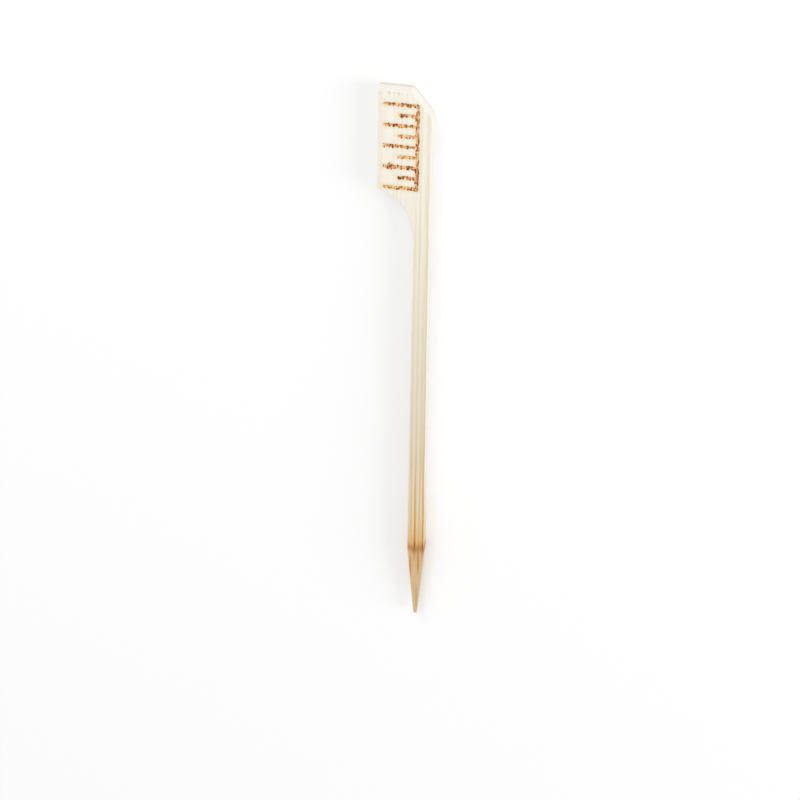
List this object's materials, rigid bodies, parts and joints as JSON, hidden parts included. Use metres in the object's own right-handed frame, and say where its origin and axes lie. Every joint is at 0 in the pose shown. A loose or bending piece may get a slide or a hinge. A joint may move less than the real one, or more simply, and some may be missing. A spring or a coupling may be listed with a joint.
{
  "type": "bamboo pick",
  "caption": "Flat one-piece bamboo food pick with a wide marker head, a round-swept shoulder, a slim stem and a four-sided point.",
  "frame": {"origin": "under the middle of the pick, on the surface that it lies on", "axes": "+Z out of the marked front face, away from the surface it lies on; +Y along the pick from the point to the head; +X across it, from the head's left edge to the spine"},
  "size_m": [0.0078, 0.09, 0.0022],
  "materials": {
    "bamboo": "raw split bamboo, dull, with fine lengthwise fibre lines and a burnt mark"
  },
  "bodies": {
    "root": {"pick": "bamboo"}
  },
  "joints": []
}
